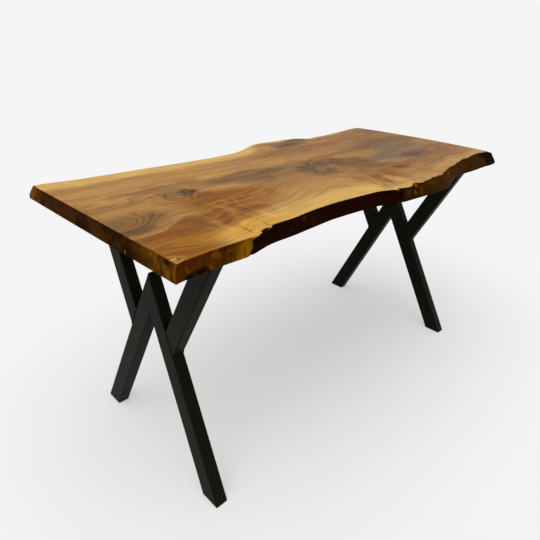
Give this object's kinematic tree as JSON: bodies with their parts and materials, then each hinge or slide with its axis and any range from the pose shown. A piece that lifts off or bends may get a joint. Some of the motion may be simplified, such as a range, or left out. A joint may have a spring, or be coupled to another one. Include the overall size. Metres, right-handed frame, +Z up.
{
  "type": "dining table",
  "caption": "Rectangular dining table with a live-edge wooden slab top bolted onto welded rectangular-tube steel leg frames with crossed, branching legs.",
  "frame": {"origin": "on the floor, under the middle of the slab's bounding box", "axes": "+X along the slab towards the end with the bowed cut, +Y across it to the edge with the wide swelling, +Z up"},
  "size_m": [1.5293, 0.7515, 0.75],
  "materials": {
    "walnut": "satin varnish",
    "black_steel": "satin powder coat",
    "plug_plastic": "matte",
    "zinc_steel": "zinc plated",
    "insert_brass": "machined"
  },
  "bodies": {
    "root": {"tabletop_slab": "walnut", "left_back_leg": "black_steel", "left_back_strut": "black_steel", "left_back_foot_plug": "plug_plastic", "left_front_leg": "black_steel", "left_front_strut": "black_steel", "left_front_foot_plug": "plug_plastic", "left_mounting_plate": "black_steel", "left_washers": "zinc_steel", "left_bolts": "zinc_steel", "left_threaded_inserts": "insert_brass", "right_back_leg": "black_steel", "right_back_strut": "black_steel", "right_back_foot_plug": "plug_plastic", "right_front_leg": "black_steel", "right_front_strut": "black_steel", "right_front_foot_plug": "plug_plastic", "right_mounting_plate": "black_steel", "right_washers": "zinc_steel", "right_bolts": "zinc_steel", "right_threaded_inserts": "insert_brass"}
  },
  "joints": []
}
